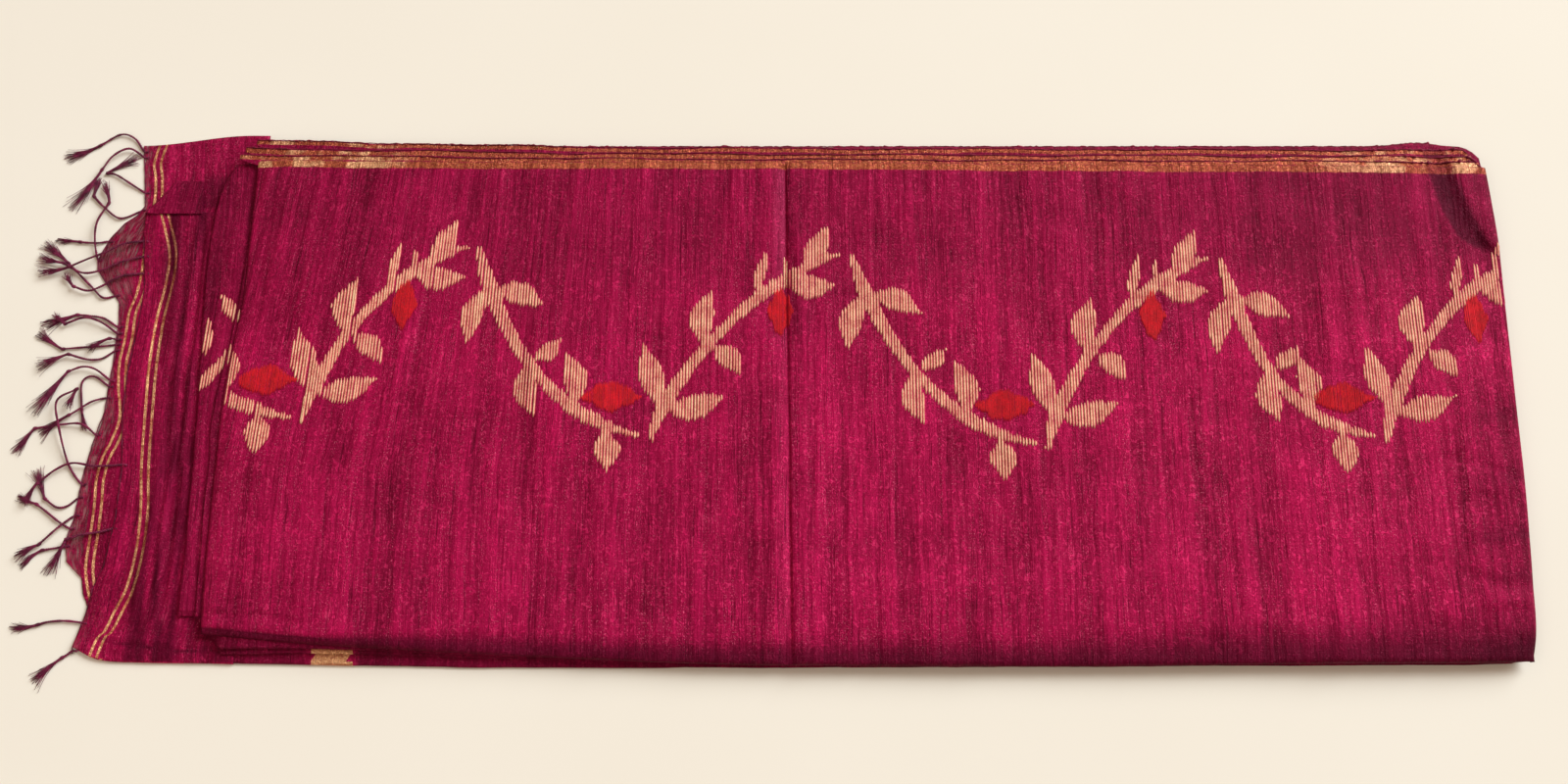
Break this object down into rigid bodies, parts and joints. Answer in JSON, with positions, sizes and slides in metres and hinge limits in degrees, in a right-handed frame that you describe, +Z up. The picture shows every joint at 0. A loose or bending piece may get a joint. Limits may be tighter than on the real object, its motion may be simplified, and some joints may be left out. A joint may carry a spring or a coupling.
{
  "type": "saree",
  "caption": "Handloom silk saree folded flat into a long stack, with gold-bordered selvedges, a vine pattern and a knotted tassel fringe at one end.",
  "frame": {"origin": "middle of the underside's bounding rectangle, on the surface the cloth lies on", "axes": "+X along the folded length away from the tassels, +Y towards the selvedges, +Z up"},
  "size_m": [1.6006, 0.6126, 0.0173],
  "materials": {
    "silk": "soft sheen, slubby",
    "silk_shade": "soft sheen, slubby",
    "zari": "metallic thread",
    "fringe_thread": "matte twisted yarn"
  },
  "bodies": {
    "root": {"core_layers": "silk_shade", "top_panel": "silk", "left_fold": "silk", "left_fold_inner": "silk", "pallu_upper": "silk", "pallu_lower": "silk_shade", "pallu_flap": "silk", "selvedge_second": "zari", "selvedge_third": "zari", "selvedge_fourth": "zari", "fringe_upper": "fringe_thread", "fringe_lower": "fringe_thread"}
  },
  "joints": []
}
